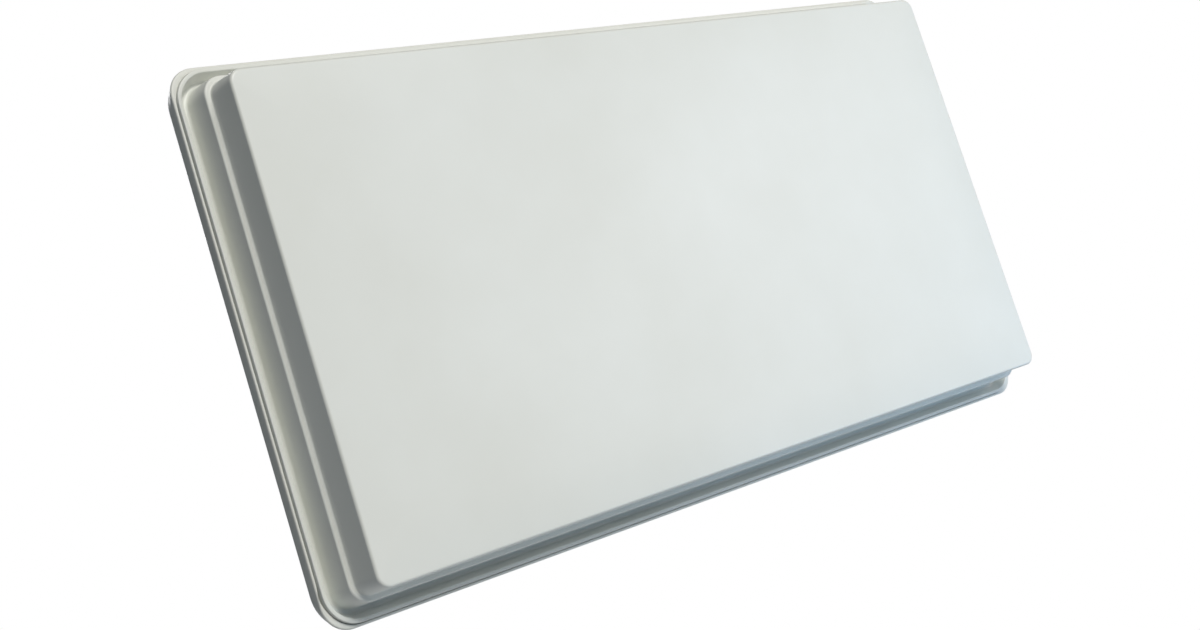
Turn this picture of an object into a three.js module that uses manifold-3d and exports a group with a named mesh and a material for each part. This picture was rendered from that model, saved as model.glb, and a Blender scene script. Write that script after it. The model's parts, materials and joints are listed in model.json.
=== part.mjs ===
// Flat satellite antenna on a tilting mast bracket. Millimetres, +Z up, face toward -Y.
// The origin is on the axis of the mast that the rear clamp grips.
import * as THREE from 'three';
import { mergeVertices } from 'three/addons/utils/BufferGeometryUtils.js';
import Module from 'manifold-3d';

const wasm = await Module();
wasm.setup();

// ---- driving dimensions ----
const FACE_Y = -200; // front face of the cover
const FACE_W = 516;
const FACE_H = 256;
const CORNER_AT_FACE = 7; // corner radius of the face outline
const CORNER_GROWTH = 0.85; // corner radius gained per millimetre of outward step
const EDGE_ROUND = 1.8; // rounding of the face edge
const LEDGE_DEPTH = 20.4; // ledge behind the face
const LEDGE_IN = 1.05; // outward step where the ledge starts
const LEDGE_OUT = 4.05; // outward step where the ledge ends
const CHANNEL_DEPTH = 39.2; // channel floor behind the face
const BEAD_DEPTH = 32.4; // crest of the bead behind the face
const BEAD_OUT = 12.8;
const FLOOR = 1.5; // thickness of the cover under its channel
const RIM_OUT = 14; // outward step of the housing rim
const RIM_FRONT = 35;
const RIM_BACK = 41;
const WALL = 2.5;
const BACK_DEPTH = 44; // flat back of the housing
const BOSS_DEPTH = 52; // round boss that carries the bracket
const BOSS_RADIUS = 58;
const BULGE_DEPTH = 58; // converter bulge
const OUTPUT_DEPTH = 51.4; // axis of the two outputs behind the face
const BULGE = { x: 50, top: -66, bottom: -122 };
const GAP = 0.3; // clearance between separate pieces
const STACK_W = 504; // plates of the slotted array
const STACK_H = 244;
const HORNS_X = 16;
const HORNS_Z = 8;
const HORN_PITCH_X = 31;
const HORN_PITCH_Z = 30;
const HORN_MOUTH = 27;
const HORN_THROAT = 15;
const SKEW_RADIUS = 42; // circle of the four skew bolts
const SKEW_SWING = 25; // degrees each way
const PIVOT_Y = -72;
const LOCK_RADIUS = 40; // lock bolt circle around the tilt pivot
const TILT_SWING = 60; // degrees
const WEB_Y = -147.7; // front of the tilt bracket web
const SHEET = 3;
const EAR_SHEET = 2.5;
const FLANGE_X = 55; // outer side of the tilt bracket flanges
const MAST_RADIUS = 19;
const CLAMP_BOLT_X = 36;
const CLAMP_WEB_Y = -40;
const JAW_WEB_Y = 38;

// ---- materials ----
const finish = (color, roughness, metalness) => ({ color, roughness, metalness });
const COVER = finish(0xdadcd8, 0.42, 0);
const HOUSING = finish(0xc9cbc9, 0.48, 0);
const METALLISED = finish(0xb9bcc0, 0.32, 0.9);
const CASTING = finish(0x9fa3a6, 0.5, 0.9);
const RUBBER = finish(0x1b1c1e, 0.8, 0);
const BOARD = finish(0x1f5a3a, 0.55, 0);
const BRASS = finish(0xb48b45, 0.35, 1);
const NICKEL = finish(0xc6c4bd, 0.28, 1);
const STEEL = finish(0xa7abaf, 0.38, 1);
const COATED = finish(0x8f9396, 0.5, 0.3);
const VENT = finish(0x2a2c2f, 0.7, 0);

const root = new THREE.Group();
root.name = 'flat_satellite_antenna';

function addPart(name, geometry, look) {
  const material = new THREE.MeshStandardMaterial(look);
  const mesh = new THREE.Mesh(geometry, material);
  mesh.name = name;
  root.add(mesh);
}

// ---- joining and cutting ----
function solid(geometry) {
  const copy = geometry.clone();
  copy.deleteAttribute('normal');
  copy.deleteAttribute('uv');
  const merged = mergeVertices(copy, 1e-4);
  const mesh = new wasm.Mesh({
    numProp: 3,
    vertProperties: new Float32Array(merged.attributes.position.array),
    triVerts: new Uint32Array(merged.index.array),
  });
  return new wasm.Manifold(mesh);
}

function geometryOf(body) {
  const mesh = body.getMesh();
  const geometry = new THREE.BufferGeometry();
  geometry.setAttribute('position', new THREE.BufferAttribute(mesh.vertProperties, 3));
  geometry.setIndex(new THREE.BufferAttribute(mesh.triVerts, 1));
  return geometry;
}

const join = (first, ...rest) => rest.reduce((sum, item) => sum.add(solid(item)), solid(first));
const cut = (body, ...tools) => tools.reduce((left, tool) => left.subtract(solid(tool)), body);

// ---- basic shapes ----
function box(x0, x1, y0, y1, z0, z1) {
  const shape = new THREE.BoxGeometry(x1 - x0, y1 - y0, z1 - z0);
  return shape.translate((x0 + x1) / 2, (y0 + y1) / 2, (z0 + z1) / 2);
}

function rodY(x, z, y0, y1, radius, sides = 16) {
  const shape = new THREE.CylinderGeometry(radius, radius, y1 - y0, sides);
  return shape.translate(x, (y0 + y1) / 2, z);
}

function rodX(y, z, x0, x1, radius, sides = 16) {
  const shape = new THREE.CylinderGeometry(radius, radius, x1 - x0, sides);
  return shape.rotateZ(Math.PI / 2).translate((x0 + x1) / 2, y, z);
}

function rodZ(x, y, z0, z1, radius, sides = 16) {
  const shape = new THREE.CylinderGeometry(radius, radius, z1 - z0, sides);
  return shape.rotateX(Math.PI / 2).translate(x, y, (z0 + z1) / 2);
}

// profile of [radius, height] pairs turned about +Y
function turned(profile, sides = 16) {
  const points = profile.map(([radius, height]) => new THREE.Vector2(radius, height));
  return new THREE.LatheGeometry(points, sides);
}

// outline in X and Z pushed from y0 to y1
function slabXZ(outline, y0, y1) {
  const shape = new THREE.Shape(outline.map(([x, z]) => new THREE.Vector2(x, z)));
  const slab = new THREE.ExtrudeGeometry(shape, { depth: y1 - y0, bevelEnabled: false });
  return slab.rotateX(Math.PI / 2).translate(0, y1, 0);
}

// outline in Y and Z pushed from x0 to x1
function slabYZ(outline, x0, x1) {
  const shape = new THREE.Shape(outline.map(([y, z]) => new THREE.Vector2(y, z)));
  const slab = new THREE.ExtrudeGeometry(shape, { depth: x1 - x0, bevelEnabled: false });
  return slab.rotateX(Math.PI / 2).rotateZ(Math.PI / 2).translate(x0, 0, 0);
}

// outline in X and Y pushed from z0 to z1
function slabXY(outline, z0, z1) {
  const shape = new THREE.Shape(outline.map(([x, y]) => new THREE.Vector2(x, y)));
  const slab = new THREE.ExtrudeGeometry(shape, { depth: z1 - z0, bevelEnabled: false });
  return slab.translate(0, 0, z0);
}

// slot that follows a circle about (u, v) from one angle to another, in degrees
function arcOutline(u, v, radius, width, from, to, steps = 6) {
  const outline = [];
  const place = (cu, cv, r, degrees) => {
    const angle = THREE.MathUtils.degToRad(degrees);
    outline.push([cu + r * Math.cos(angle), cv + r * Math.sin(angle)]);
  };
  const end = THREE.MathUtils.degToRad(to);
  const start = THREE.MathUtils.degToRad(from);
  for (let i = 0; i <= steps; i += 1) {
    place(u, v, radius + width / 2, from + ((to - from) * i) / steps);
  }
  for (let i = 1; i < 6; i += 1) {
    place(u + radius * Math.cos(end), v + radius * Math.sin(end), width / 2, to + i * 30);
  }
  for (let i = steps; i >= 0; i -= 1) {
    place(u, v, radius - width / 2, from + ((to - from) * i) / steps);
  }
  for (let i = 1; i < 6; i += 1) {
    place(u + radius * Math.cos(start), v + radius * Math.sin(start), width / 2, from + 180 + i * 30);
  }
  return outline;
}

// ---- rounded frames around the panel ----
// one ring of points at an outward step from the face outline and a depth behind the face
function ring(step, depth) {
  const radius = Math.max(CORNER_AT_FACE + CORNER_GROWTH * step, 1.5);
  const halfW = FACE_W / 2 + step;
  const halfH = FACE_H / 2 + step;
  const points = [];
  const corners = [[1, 1, 0], [-1, 1, 90], [-1, -1, 180], [1, -1, 270]];
  corners.forEach(([sx, sz, start]) => {
    for (let i = 0; i <= 6; i += 1) {
      const angle = THREE.MathUtils.degToRad(start + (90 * i) / 6);
      const x = sx * (halfW - radius) + radius * Math.cos(angle);
      const z = sz * (halfH - radius) + radius * Math.sin(angle);
      points.push([x, FACE_Y + depth, z]);
    }
  });
  return points;
}

// skin over a list of rings; capped at both ends, or closed on itself
function loft(steps, closed) {
  const rings = steps.map(([step, depth]) => ring(step, depth));
  const count = rings[0].length;
  const positions = rings.flat();
  const index = [];
  const total = rings.length;
  const last = closed ? total : total - 1;
  for (let r = 0; r < last; r += 1) {
    for (let i = 0; i < count; i += 1) {
      const a = r * count + i;
      const b = r * count + ((i + 1) % count);
      const c = ((r + 1) % total) * count + i;
      const d = ((r + 1) % total) * count + ((i + 1) % count);
      index.push(a, c, b, b, c, d);
    }
  }
  if (!closed) {
    for (let i = 1; i < count - 1; i += 1) {
      const base = (total - 1) * count;
      index.push(0, i, i + 1);
      index.push(base, base + i + 1, base + i);
    }
  }
  const geometry = new THREE.BufferGeometry();
  geometry.setAttribute('position', new THREE.Float32BufferAttribute(positions.flat(), 3));
  geometry.setIndex(index);
  return geometry;
}

const depthY = (depth) => FACE_Y + depth;

// ---- cover ----
const COVER_SCREWS = [
  [-FACE_W / 2 + 1.5, -FACE_H / 2 + 22], [-FACE_W / 2 + 1.5, FACE_H / 2 - 22],
  [FACE_W / 2 - 1.5, -FACE_H / 2 + 22], [FACE_W / 2 - 1.5, FACE_H / 2 - 22],
  [-90, -FACE_H / 2 + 1.5], [-90, FACE_H / 2 - 1.5],
  [90, -FACE_H / 2 + 1.5], [90, FACE_H / 2 - 1.5],
];

function coverSteps() {
  const steps = [];
  for (let i = 0; i <= 4; i += 1) {
    const angle = (i / 4) * (Math.PI / 2);
    steps.push([-EDGE_ROUND * (1 - Math.sin(angle)), EDGE_ROUND * (1 - Math.cos(angle))]);
  }
  steps.push([LEDGE_IN - 0.05, LEDGE_DEPTH - 0.6], [LEDGE_IN + 0.5, LEDGE_DEPTH]);
  steps.push([LEDGE_OUT - 0.6, LEDGE_DEPTH], [LEDGE_OUT, LEDGE_DEPTH + 0.6]);
  steps.push([5, CHANNEL_DEPTH - 1.4], [5.5, CHANNEL_DEPTH - 0.4], [6.4, CHANNEL_DEPTH]);
  steps.push([7.6, CHANNEL_DEPTH], [8.3, CHANNEL_DEPTH - 0.8], [10.3, BEAD_DEPTH + 0.7]);
  steps.push([11, BEAD_DEPTH + 0.1], [12.2, BEAD_DEPTH], [12.6, BEAD_DEPTH + 0.4]);
  steps.push([BEAD_OUT, BEAD_DEPTH + 1.2], [BEAD_OUT, CHANNEL_DEPTH + FLOOR]);
  steps.push([2.6, CHANNEL_DEPTH + FLOOR], [1.6, LEDGE_DEPTH + WALL]);
  steps.push([-1.4, LEDGE_DEPTH + WALL], [-2.4, WALL + 1], [-3.4, WALL]);
  return steps;
}

function frontCover() {
  let body = solid(loft(coverSteps(), false));
  COVER_SCREWS.forEach(([x, z]) => {
    body = body.add(solid(rodY(x, z, depthY(LEDGE_DEPTH + 1), depthY(CHANNEL_DEPTH + 2.2), 4)));
    body = body.subtract(solid(rodY(x, z, depthY(LEDGE_DEPTH + 5), depthY(BACK_DEPTH), 1.8, 12)));
  });
  return geometryOf(body);
}

function rimGasket() {
  const front = CHANNEL_DEPTH + FLOOR + GAP;
  return loft([[9, front], [11.4, front], [11.4, front + 1], [9, front + 1]], true);
}

// ---- rear housing ----
const POSTS = [[-200, -90], [-200, 90], [200, -90], [200, 90]];
const INSERT_ANGLES = [45, 135, 225, 315];
const STACK_BACK = 29.4;

function onCircle(radius, degrees) {
  const angle = THREE.MathUtils.degToRad(degrees);
  return [radius * Math.cos(angle), radius * Math.sin(angle)];
}

function housingShell() {
  const shelf = CHANNEL_DEPTH + FLOOR + GAP;
  const inner = BACK_DEPTH - 2;
  return loft([
    [2, inner], [6.4, inner - 0.4], [7.4, shelf], [8.7, shelf], [8.7, shelf + 1.3],
    [11.7, shelf + 1.3], [11.7, shelf], [BEAD_OUT + GAP, shelf], [BEAD_OUT + GAP, RIM_FRONT - 0.3],
    [BEAD_OUT + 0.6, RIM_FRONT - 0.5], [RIM_OUT - 0.5, RIM_FRONT - 0.2], [RIM_OUT, RIM_FRONT + 0.8],
    [RIM_OUT, RIM_BACK],
    [RIM_OUT - 0.4, RIM_BACK + 0.8], [12.4, RIM_BACK + 2.2], [9.6, BACK_DEPTH - 0.4], [8, BACK_DEPTH],
  ], false);
}

function backRibs() {
  const ribs = [];
  const back = depthY(BACK_DEPTH + 3);
  const front = depthY(BACK_DEPTH - 1);
  [-1, 1].forEach((side) => {
    ribs.push(box(Math.min(side * 54, side * 240), Math.max(side * 54, side * 240), front, back, -1.5, 1.5));
    [-62, 62].forEach((z) => {
      const x0 = Math.min(side * 70, side * 240);
      ribs.push(box(x0, x0 + 170, front, back, z - 1.5, z + 1.5));
    });
    ribs.push(box(side * 155 - 1.5, side * 155 + 1.5, front, back, -112, 112));
    ribs.push(box(side * 240 - 1.5, side * 240 + 1.5, front, back, -112, 112));
  });
  return ribs;
}

function rearHousing() {
  let body = solid(housingShell());
  const behind = depthY(BACK_DEPTH - 1);
  body = body.add(solid(rodY(0, 0, behind, depthY(BOSS_DEPTH), BOSS_RADIUS, 48)));
  body = body.subtract(solid(rodY(0, 0, depthY(BACK_DEPTH + 1), depthY(BOSS_DEPTH + 1), 30, 36)));
  body = body.add(solid(rodY(0, 0, behind, depthY(BOSS_DEPTH + 3.6), 8, 32)));
  backRibs().forEach((rib) => {
    body = body.add(solid(rib));
  });
  const bulge = BULGE;
  body = body.add(solid(box(-bulge.x, bulge.x, behind, depthY(BULGE_DEPTH), bulge.bottom, bulge.top)));
  const pocket = box(
    -bulge.x + 2.2, bulge.x - 2.2, depthY(BACK_DEPTH - 3), depthY(BULGE_DEPTH - 2.2),
    bulge.bottom + 2.2, bulge.top - 2.2,
  );
  body = body.subtract(solid(pocket));
  POSTS.forEach(([x, z]) => {
    body = body.add(solid(rodY(x, z, depthY(STACK_BACK + GAP), behind, 5)));
    body = body.subtract(solid(rodY(x, z, depthY(STACK_BACK - 1), depthY(STACK_BACK + 10), 1.8, 12)));
  });
  INSERT_ANGLES.forEach((angle) => {
    const [x, z] = onCircle(SKEW_RADIUS, angle);
    body = body.subtract(solid(rodY(x, z, depthY(BACK_DEPTH - 0.8), depthY(BOSS_DEPTH + 1), 4.5)));
  });
  COVER_SCREWS.forEach(([x, z]) => {
    body = body.subtract(solid(rodY(x, z, depthY(BACK_DEPTH - 4), depthY(BACK_DEPTH + 4), 1.9, 12)));
    body = body.subtract(solid(rodY(x, z, depthY(BACK_DEPTH - 0.8), depthY(BACK_DEPTH + 4), 3.4, 16)));
  });
  [-16, 16].forEach((x) => {
    body = body.subtract(solid(rodZ(x, depthY(OUTPUT_DEPTH), bulge.bottom - 1, bulge.bottom + 4, 5.1)));
  });
  body = body.subtract(solid(rodY(38, -112, depthY(BULGE_DEPTH - 4), depthY(BULGE_DEPTH + 1), 3.3, 16)));
  return geometryOf(body);
}

// ---- slotted array plates ----
function hornPlate() {
  const front = depthY(5);
  const back = depthY(17);
  let body = solid(box(-STACK_W / 2, STACK_W / 2, front, back, -STACK_H / 2, STACK_H / 2));
  const depth = back - front + 2;
  const horn = new THREE.CylinderGeometry(HORN_THROAT / Math.SQRT2, HORN_MOUTH / Math.SQRT2, depth, 4);
  horn.rotateY(Math.PI / 4);
  const funnels = [];
  for (let i = 0; i < HORNS_X; i += 1) {
    for (let k = 0; k < HORNS_Z; k += 1) {
      const x = (i - (HORNS_X - 1) / 2) * HORN_PITCH_X;
      const z = (k - (HORNS_Z - 1) / 2) * HORN_PITCH_Z;
      funnels.push(solid(horn.clone().translate(x, (front + back) / 2, z)));
    }
  }
  body = wasm.Manifold.difference([body, ...funnels]);
  POSTS.forEach(([x, z]) => {
    body = body.subtract(solid(rodY(x, z, back - 2.4, back + 1, 3.4, 16)));
  });
  return geometryOf(body);
}

// branches of a feed network cut into the front of a plate
function feedPlate(y0, y1, along) {
  let body = solid(box(-STACK_W / 2, STACK_W / 2, y0, y1, -STACK_H / 2, STACK_H / 2));
  const bottom = y1 - 1.5;
  const cuts = [];
  if (along === 'x') {
    for (let k = 0; k < HORNS_Z; k += 2) {
      const z = (k - (HORNS_Z - 2) / 2) * HORN_PITCH_Z;
      cuts.push(box(-235, 235, y0 - 1, bottom, z - 4, z + 4));
    }
    cuts.push(box(-6, 6, y0 - 1, bottom, -95, 95));
    cuts.push(box(-12, -0.5, bottom - 1, y1 + 1, -99, -86));
  } else {
    for (let i = 0; i < HORNS_X; i += 2) {
      const x = (i - (HORNS_X - 2) / 2) * HORN_PITCH_X;
      cuts.push(box(x - 4, x + 4, y0 - 1, bottom, -108, 108));
    }
    cuts.push(box(-222, 222, y0 - 1, bottom, -99, -89));
    cuts.push(box(-8, 8, bottom - 1, y1 + 1, -99, -86));
  }
  cuts.forEach((piece) => {
    body = body.subtract(solid(piece));
  });
  POSTS.forEach(([x, z]) => {
    body = body.subtract(solid(rodY(x, z, y0 - 1, y1 + 1, 1.9, 12)));
  });
  return geometryOf(body);
}

function backPlate() {
  const y0 = depthY(26.9);
  const y1 = depthY(STACK_BACK);
  let body = solid(box(-STACK_W / 2, STACK_W / 2, y0, y1, -STACK_H / 2, STACK_H / 2));
  body = body.subtract(solid(box(-9, 9, y0 - 1, y1 + 1, -103, -85)));
  POSTS.forEach(([x, z]) => {
    body = body.subtract(solid(rodY(x, z, y0 - 1, y1 + 1, 1.9, 12)));
  });
  return geometryOf(body);
}

function arrayPlates() {
  addPart('horn_plate', hornPlate(), METALLISED);
  addPart('feed_plate_front', feedPlate(depthY(17.3), depthY(21.8), 'x'), METALLISED);
  addPart('feed_plate_rear', feedPlate(depthY(22.1), depthY(26.6), 'z'), METALLISED);
  addPart('back_plate', backPlate(), METALLISED);
}

// ---- converter in the bulge ----
const CASE = { x: 44, top: -70, bottom: -117, front: 30, back: 54.1 };

function converterCase() {
  const front = depthY(CASE.front);
  const back = depthY(CASE.back);
  let body = solid(box(-CASE.x, CASE.x, front, back, CASE.bottom, CASE.top));
  body = cut(body, box(-CASE.x + 2, CASE.x - 2, front + 3, back + 1, CASE.bottom + 2, CASE.top - 2));
  body = cut(body, box(-9, 9, front - 1, front + 4, -103, -85));
  [-16, 16].forEach((x) => {
    body = cut(body, rodZ(x, depthY(OUTPUT_DEPTH), CASE.bottom - 1, CASE.bottom + 3, 2.5));
  });
  return geometryOf(body);
}

function converter() {
  addPart('converter_case', converterCase(), CASTING);
  const boardFront = depthY(38);
  addPart('converter_board', box(-41, 41, boardFront, boardFront + 1.6, -114, -73), BOARD);
  const lidFront = depthY(CASE.back) + GAP;
  const lid = box(-CASE.x, CASE.x, lidFront, lidFront + 1.1, CASE.bottom, CASE.top);
  addPart('converter_lid', lid, CASTING);
  addPart('probe_a', rodY(-4, -94, depthY(31.5), depthY(38) - GAP, 0.7, 12), BRASS);
  addPart('probe_b', rodY(4, -94, depthY(31.5), depthY(38) - GAP, 0.7, 12), BRASS);
}

// ---- outputs ----
function connector(x) {
  const y = depthY(OUTPUT_DEPTH);
  const inner = CASE.bottom + 6;
  const body = join(
    rodZ(x, y, BULGE.bottom - 12, BULGE.bottom + 3.5, 4.7, 16),
    rodZ(x, y, BULGE.bottom + 3, inner, 2.1, 16),
  );
  return geometryOf(cut(body, rodZ(x, y, BULGE.bottom - 13, BULGE.bottom - 3, 3.6, 20)));
}

function hexAlongZ(x, y, z0, z1, acrossFlats) {
  const hex = new THREE.CylinderGeometry(acrossFlats / Math.sqrt(3), acrossFlats / Math.sqrt(3), z1 - z0, 6);
  return hex.rotateX(Math.PI / 2).translate(x, y, (z0 + z1) / 2);
}

function weatherCap(x) {
  const y = depthY(OUTPUT_DEPTH);
  const top = BULGE.bottom - 3.2;
  const body = join(rodZ(x, y, BULGE.bottom - 14.5, top, 5.9, 16), rodZ(x, y, top - 1.6, top - 0.2, 6.1, 16));
  return geometryOf(cut(body, rodZ(x, y, BULGE.bottom - 12.6, top + 1, 5, 16)));
}

function outputs() {
  [['a', -16], ['b', 16]].forEach(([name, x]) => {
    const nutTop = BULGE.bottom - GAP;
    const nut = cut(
      solid(hexAlongZ(x, depthY(OUTPUT_DEPTH), nutTop - 2.6, nutTop, 11)),
      rodZ(x, depthY(OUTPUT_DEPTH), nutTop - 4, nutTop + 1, 5),
    );
    addPart(`f_connector_${name}`, connector(x), NICKEL);
    addPart(`connector_nut_${name}`, geometryOf(nut), NICKEL);
    addPart(`weather_cap_${name}`, weatherCap(x), RUBBER);
  });
  const vent = join(
    rodY(38, -112, depthY(BULGE_DEPTH - 2), depthY(BULGE_DEPTH + 0.6), 3, 16),
    rodY(38, -112, depthY(BULGE_DEPTH + GAP), depthY(BULGE_DEPTH + 1.8), 4.6, 20),
  );
  addPart('vent_plug', geometryOf(vent), VENT);
}

// ---- fasteners ----
// pan or countersunk screw pointing toward -Y, its head under side at y
function screwForward(x, z, y, length, radius, headRadius, headHeight) {
  const profile = [
    [0, -length], [radius * 0.6, -length], [radius, -length + 1], [radius, 0],
    [headRadius, 0], [headRadius, headHeight * 0.6], [headRadius * 0.7, headHeight], [0, headHeight],
  ];
  return turned(profile, 16).translate(x, y, z);
}

// hexagon along +Y with a flat on top
function hexAlongY(x, z, y0, y1, acrossFlats) {
  const radius = acrossFlats / Math.sqrt(3);
  const hex = new THREE.CylinderGeometry(radius, radius, y1 - y0, 6);
  return hex.translate(x, (y0 + y1) / 2, z);
}

function hexAlongX(y, z, x0, x1, acrossFlats) {
  const radius = acrossFlats / Math.sqrt(3);
  const hex = new THREE.CylinderGeometry(radius, radius, x1 - x0, 6);
  return hex.rotateZ(Math.PI / 2).translate((x0 + x1) / 2, y, z);
}

function coverScrews() {
  const seat = depthY(BACK_DEPTH - 0.8) + GAP;
  COVER_SCREWS.forEach(([x, z], i) => {
    addPart(`cover_screw_${i + 1}`, screwForward(x, z, seat, 15, 1.5, 2.9, 2), STEEL);
  });
}

function plateScrews() {
  POSTS.forEach(([x, z], i) => {
    const head = [
      [0, -1.6], [1.8, -1.6], [2.8, -1], [2.8, 0], [1.5, 0], [1.5, 20], [0, 20],
    ];
    const screw = turned(head, 16).translate(x, depthY(17.3) - GAP, z);
    addPart(`plate_screw_${i + 1}`, screw, STEEL);
  });
}

function skewFixings() {
  INSERT_ANGLES.forEach((angle, i) => {
    const [x, z] = onCircle(SKEW_RADIUS, angle);
    const front = depthY(BACK_DEPTH - 0.8) + GAP;
    const shell = [[3.3, 0], [4.2, 0], [4.2, 8], [3.3, 8], [3.3, 0]];
    addPart(`insert_${i + 1}`, turned(shell, 20).translate(x, front, z), BRASS);
    const seat = WEB_Y + SHEET + GAP;
    const bolt = join(
      rodY(x, z, front + 1, seat + 1, 3, 20),
      rodY(x, z, seat, seat + 1.6, 6.6, 16),
      hexAlongY(x, z, seat + 1, seat + 6, 10),
    );
    addPart(`skew_bolt_${i + 1}`, geometryOf(bolt), STEEL);
  });
}

// ---- tilt bracket ----
function tiltFlange(side) {
  const inner = side * (FLANGE_X - SHEET);
  const outer = side * FLANGE_X;
  const outline = [[WEB_Y, -23], [WEB_Y, 23], [-112, 30], [-84, 20]];
  for (let angle = 60; angle >= -60; angle -= 20) {
    const [y, z] = onCircle(19, angle);
    outline.push([PIVOT_Y + y, z]);
  }
  outline.push([-72, -30], [-82, -45], [-100, -46], [-118, -36]);
  outline.reverse();
  const x0 = Math.min(inner, outer);
  const body = solid(slabYZ(outline, x0, x0 + SHEET));
  const slot = arcOutline(PIVOT_Y, 0, LOCK_RADIUS, 6.8, 180, 180 + TILT_SWING, 12);
  return cut(body, rodX(PIVOT_Y, 0, x0 - 1, x0 + SHEET + 1, 4.4), slabYZ(slot, x0 - 1, x0 + SHEET + 1));
}

function tiltBracket() {
  const disc = [];
  for (let i = 0; i < 72; i += 1) {
    const [x, z] = onCircle(60, i * 5);
    disc.push([THREE.MathUtils.clamp(x, -FLANGE_X, FLANGE_X), z]);
  }
  let body = solid(slabXZ(disc, WEB_Y, WEB_Y + SHEET));
  INSERT_ANGLES.forEach((angle) => {
    const slot = arcOutline(0, 0, SKEW_RADIUS, 6.8, angle - SKEW_SWING, angle + SKEW_SWING);
    body = cut(body, slabXZ(slot, WEB_Y - 1, WEB_Y + SHEET + 1));
  });
  body = cut(body, rodY(0, 0, WEB_Y - 1, WEB_Y + SHEET + 1, 8.4, 32));
  return geometryOf(body.add(tiltFlange(1)).add(tiltFlange(-1)));
}

// ---- mast bracket ----
// outline of a plate with a V notch that seats the mast; toward is +1 or -1 along Y
function notchPlate(halfW, webY, edgeY) {
  const toward = Math.sign(edgeY - webY);
  const apex = -toward * MAST_RADIUS * Math.SQRT2;
  const mouth = Math.abs(edgeY - apex);
  const outline = [
    [-halfW, webY], [halfW, webY], [halfW, edgeY], [mouth, edgeY], [2, apex + toward * 2],
    [-2, apex + toward * 2], [-mouth, edgeY], [-halfW, edgeY],
  ];
  return toward > 0 ? outline : outline.reverse();
}

function earOutline() {
  const outline = [];
  for (let angle = 120; angle <= 240; angle += 20) {
    const [y, z] = onCircle(12, angle);
    outline.push([PIVOT_Y - LOCK_RADIUS + y, z]);
  }
  outline.push([PIVOT_Y, -20], [CLAMP_WEB_Y, -48], [CLAMP_WEB_Y, 48], [PIVOT_Y, 20]);
  return outline;
}

function mastBracket() {
  const half = FLANGE_X - SHEET - GAP;
  const front = CLAMP_WEB_Y - EAR_SHEET;
  let body = solid(box(-half, half, front, CLAMP_WEB_Y, -48, 48));
  [-half, half - EAR_SHEET].forEach((x0) => {
    body = body.add(solid(slabYZ(earOutline(), x0, x0 + EAR_SHEET)));
    body = cut(body, rodX(PIVOT_Y, 0, x0 - 1, x0 + EAR_SHEET + 1, 4.4));
    body = cut(body, rodX(PIVOT_Y - LOCK_RADIUS, 0, x0 - 1, x0 + EAR_SHEET + 1, 3.4));
  });
  [-48, 48 - EAR_SHEET].forEach((z0) => {
    body = body.add(solid(slabXY(notchPlate(42, CLAMP_WEB_Y - 1, -8), z0, z0 + EAR_SHEET)));
  });
  [-CLAMP_BOLT_X, CLAMP_BOLT_X].forEach((x) => {
    body = cut(body, box(x - 4.4, x + 4.4, front - 1, CLAMP_WEB_Y + 1, -4.4, 4.4));
  });
  return geometryOf(body);
}

function clampJaw() {
  const back = JAW_WEB_Y + EAR_SHEET;
  let body = solid(box(-46, 46, JAW_WEB_Y, back, -22, 22));
  [-22, 22 - EAR_SHEET].forEach((z0) => {
    body = body.add(solid(slabXY(notchPlate(46, JAW_WEB_Y + 1, 8), z0, z0 + EAR_SHEET)));
  });
  [-CLAMP_BOLT_X, CLAMP_BOLT_X].forEach((x) => {
    body = cut(body, rodY(x, 0, JAW_WEB_Y - 1, back + 1, 4.4));
  });
  return geometryOf(body);
}

function clampFixings() {
  [['left', -CLAMP_BOLT_X], ['right', CLAMP_BOLT_X]].forEach(([name, x]) => {
    const headY = CLAMP_WEB_Y - EAR_SHEET - GAP;
    const head = [[0, -4.6], [4, -4.2], [7.4, -2.6], [8.6, 0], [0, 0]];
    const bolt = join(
      turned(head, 20).translate(x, headY, 0),
      box(x - 4, x + 4, headY - 1, CLAMP_WEB_Y - 0.2, -4, 4),
      rodY(x, 0, headY, 74, 4, 16),
    );
    addPart(`clamp_bolt_${name}`, geometryOf(bolt), STEEL);
    const seat = JAW_WEB_Y + EAR_SHEET + GAP;
    const washer = [[4.4, 0], [8.4, 0], [8.4, 1.6], [4.4, 1.6], [4.4, 0]];
    addPart(`clamp_washer_${name}`, turned(washer, 20).translate(x, seat, 0), STEEL);
    const nutY = seat + 1.6 + GAP;
    const nut = cut(solid(hexAlongY(x, 0, nutY, nutY + 6.5, 13)), rodY(x, 0, nutY - 1, nutY + 8, 4.3, 16));
    addPart(`clamp_nut_${name}`, geometryOf(nut), STEEL);
  });
}

// ---- tilt pivots and locks ----
function tiltFixings() {
  [['left', -1], ['right', 1]].forEach(([name, side]) => {
    const outer = side * (FLANGE_X + GAP);
    const inner = side * (FLANGE_X - SHEET - GAP - EAR_SHEET - GAP);
    const place = (a, b) => [Math.min(a, b), Math.max(a, b)];
    const pivotNut = place(inner, inner - side * 6);
    addPart(`pivot_bolt_${name}`, hexBolt(PIVOT_Y, outer, side, 13, 5.3, 4, 14), STEEL);
    const bore = rodX(PIVOT_Y, 0, pivotNut[0] - 1, pivotNut[1] + 1, 4.3);
    const nut = cut(solid(hexAlongX(PIVOT_Y, 0, ...pivotNut, 13)), bore);
    addPart(`pivot_nut_${name}`, geometryOf(nut), STEEL);
    const lockY = PIVOT_Y - LOCK_RADIUS;
    addPart(`lock_bolt_${name}`, hexBolt(lockY, inner, -side, 10, 4, 3, 22), STEEL);
    addPart(`wing_nut_${name}`, wingNut(lockY, outer, side), STEEL);
  });
}

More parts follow.
